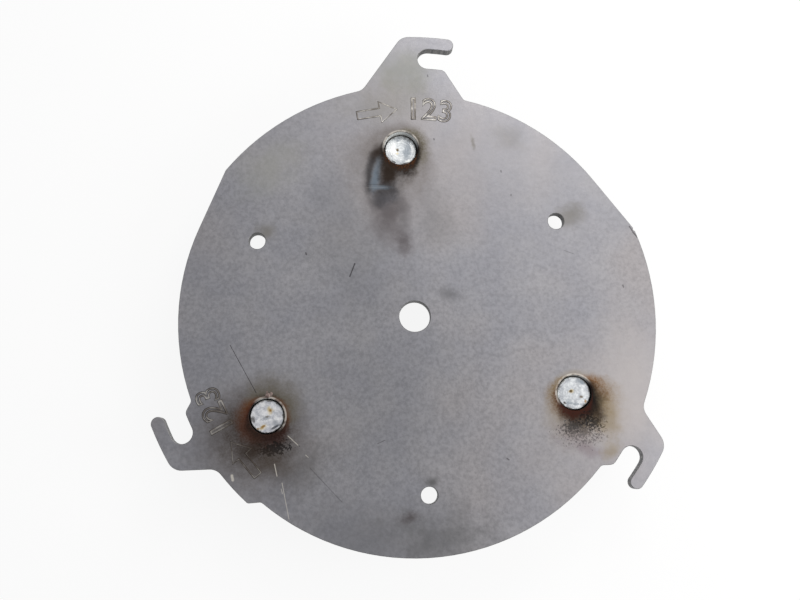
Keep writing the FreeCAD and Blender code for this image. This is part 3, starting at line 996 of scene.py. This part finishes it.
# Engraved marks: a turning arrow and plain digits beside the top and left hooks
MARK_RADIUS = 94.0 * MM
MARK_LINE = 0.54 * MM
MARK_FLATTEN = 0.20
MARK_SINK = 0.03 * MM
DIGIT_SIZE = 14.0 * MM
DIGITS = "123"
DIGIT_ANGLES = (13.0, 8.6, 4.2)
ARROW_ANGLE = -5.8
ARROW_OUTLINE = (
    (-9.0, -1.8), (1.4, -1.8), (1.4, -4.9), (9.0, 0.0), (1.4, 4.9), (1.4, 1.8), (-9.0, 1.8),
)
MARKED_SPOKES = (90.0, 210.0)


def digit_mesh(digit):
    """A digit as a thin line round its hollow outline."""
    curve = bpy.data.curves.new("digit_outline", "FONT")
    curve.body = digit
    curve.size = DIGIT_SIZE
    curve.align_x = "CENTER"
    curve.align_y = "CENTER"
    curve.fill_mode = "NONE"
    curve.bevel_depth = MARK_LINE
    curve.bevel_resolution = 2
    curve.resolution_u = 6
    return taken_mesh(curve)


def arrow_mesh():
    """A hollow arrow as a thin line round its outline."""
    curve = bpy.data.curves.new("arrow_outline", "CURVE")
    curve.dimensions = "3D"
    curve.bevel_depth = MARK_LINE
    curve.bevel_resolution = 2
    line = curve.splines.new("POLY")
    line.points.add(len(ARROW_OUTLINE) - 1)
    for point, (x, y) in zip(line.points, ARROW_OUTLINE):
        point.co = (x * MM, y * MM, 0, 1)
    line.use_cyclic_u = True
    return taken_mesh(curve)


def taken_mesh(curve):
    """The mesh of a curve, taken without leaving the curve in the scene."""
    holder = bpy.data.objects.new(curve.name, curve)
    mesh = bpy.data.meshes.new_from_object(holder)
    bpy.data.objects.remove(holder)
    return mesh


def on_the_rim(angle):
    """Where a mark stands: its top outwards, its foot towards the plate's centre."""
    turn = math.radians(angle)
    place = round_axis(Vector(), MARK_RADIUS, turn, FRONT_FACE - MARK_SINK)
    upright = Matrix.Rotation(turn - math.pi / 2, 4, "Z")
    return Matrix.Translation(place) @ upright @ Matrix.Diagonal((1, 1, MARK_FLATTEN, 1))


def make_rim_marks():
    """All the engraved marks of the front face in one mesh."""
    work = bmesh.new()
    for spoke in MARKED_SPOKES:
        marks = [(digit_mesh(digit), clockwise) for digit, clockwise in zip(DIGITS, reversed(DIGIT_ANGLES))]
        marks.append((arrow_mesh(), ARROW_ANGLE))
        for mesh, clockwise in marks:
            mesh.transform(on_the_rim(spoke - clockwise))
            work.from_mesh(mesh)
            bpy.data.meshes.remove(mesh)
    mesh = bpy.data.meshes.new("rim_marks")
    work.to_mesh(mesh)
    work.free()
    return mesh


FLOOR_REACH = 20.0
FLOOR_DEPTH = 0.2 * MM
FLOOR_COLOUR = (0.85, 0.85, 0.85, 1)
FLOOR_WHITE_SHARE = 0.89


def make_floor():
    """A pale floor that keeps the shadow, shows white to the camera and is clear from below."""
    mesh = bpy.data.meshes.new("floor")
    sides = [(-1, -1), (1, -1), (1, 1), (-1, 1)]
    corners = [(x * FLOOR_REACH, y * FLOOR_REACH, -FLOOR_DEPTH) for x, y in sides]
    mesh.from_pydata(corners, [], [(0, 1, 2, 3)])
    floor = bpy.data.objects.new("floor", mesh)
    bpy.context.scene.collection.objects.link(floor)
    material = bpy.data.materials.new("pale_floor")
    material.use_nodes = True
    tree = material.node_tree
    tree.nodes.clear()
    matt = add(tree, "ShaderNodeBsdfDiffuse", {"Color": FLOOR_COLOUR})
    glow = add(tree, "ShaderNodeEmission", {"Color": (1, 1, 1, 1), "Strength": 1.0})
    rays = add(tree, "ShaderNodeLightPath").outputs
    seen = sums(tree, "MAXIMUM", rays["Is Camera Ray"], rays["Is Glossy Ray"])
    seen = sums(tree, "MAXIMUM", seen, rays["Is Transmission Ray"])
    share = times(tree, seen, FLOOR_WHITE_SHARE)
    pale = add(tree, "ShaderNodeMixShader", {0: share, 1: matt.outputs[0], 2: glow.outputs[0]})
    below = add(tree, "ShaderNodeNewGeometry").outputs["Backfacing"]
    clear = add(tree, "ShaderNodeBsdfTransparent")
    mixed = add(tree, "ShaderNodeMixShader", {0: below, 1: pale.outputs[0], 2: clear.outputs[0]})
    output = tree.nodes.new("ShaderNodeOutputMaterial")
    tree.links.new(mixed.outputs[0], output.inputs["Surface"])
    mesh.materials.append(material)


# Each lamp's name, place, the point it looks at, width and power
LAMPS = (
    ("softbox_upper", (0.16, 0.34, 0.34), (0.02, 0.08, 0.03), 0.26, 1.32),
    ("softbox_side", (0.32, -0.11, 0.29), (0.06, -0.03, 0.03), 0.24, 0.92),
)
LAMP_COLOUR = (1.0, 0.98, 0.955)
STUDIO_COLOUR = (0.97, 0.98, 1.0, 1)
STUDIO_STRENGTH = 0.48


def make_lamp(name, place, aim, size, power):
    """A soft square lamp that looks at a point."""
    light = bpy.data.lights.new(name, "AREA")
    light.size = size
    light.energy = power
    light.color = LAMP_COLOUR
    lamp = bpy.data.objects.new(name, light)
    lamp.location = place
    lamp.rotation_euler = (Vector(aim) - Vector(place)).to_track_quat("-Z", "Y").to_euler()
    bpy.context.scene.collection.objects.link(lamp)


def make_light():
    for lamp in LAMPS:
        make_lamp(*lamp)
    world = bpy.data.worlds.new("studio")
    bpy.context.scene.world = world
    world.use_nodes = True
    background = world.node_tree.nodes["Background"]
    fill_inputs(world.node_tree, background, {"Color": STUDIO_COLOUR, "Strength": STUDIO_STRENGTH})


def make_camera():
    data = bpy.data.cameras.new("camera")
    data.lens = CAMERA_LENS
    data.sensor_width = CAMERA_SENSOR
    data.sensor_fit = "HORIZONTAL"
    data.clip_start = 0.01
    camera = bpy.data.objects.new("camera", data)
    camera.location = CAMERA_PLACE
    camera.rotation_euler = [math.radians(turn) for turn in CAMERA_TURN_DEGREES]
    bpy.context.scene.collection.objects.link(camera)
    bpy.context.scene.camera = camera


def dress_node(node, material):
    """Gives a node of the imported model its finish."""
    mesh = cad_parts[node].data
    mesh.materials.clear()
    mesh.materials.append(material)


def main():
    dress_node("mounting_plate", plate_finish())
    weld_metal = bead_finish()
    scorched = burr_finish()
    for index, name in enumerate(POSTS):
        finish = post_finish(name)
        dress_node("post_" + name, finish)
        make_weld_bead(name, weld_metal)
        new_piece("thread_" + name, make_bore_thread(name), finish)
        round_off(new_piece("spatter_" + name, make_spatter(name, index + 1), weld_metal))
    round_off(new_piece("edge_drop", make_edge_drop(), scorched))
    new_piece("rim_marks", make_rim_marks(), groove_finish())
    make_floor()
    make_light()
    make_camera()
    bpy.context.scene.view_settings.view_transform = "Standard"


main()
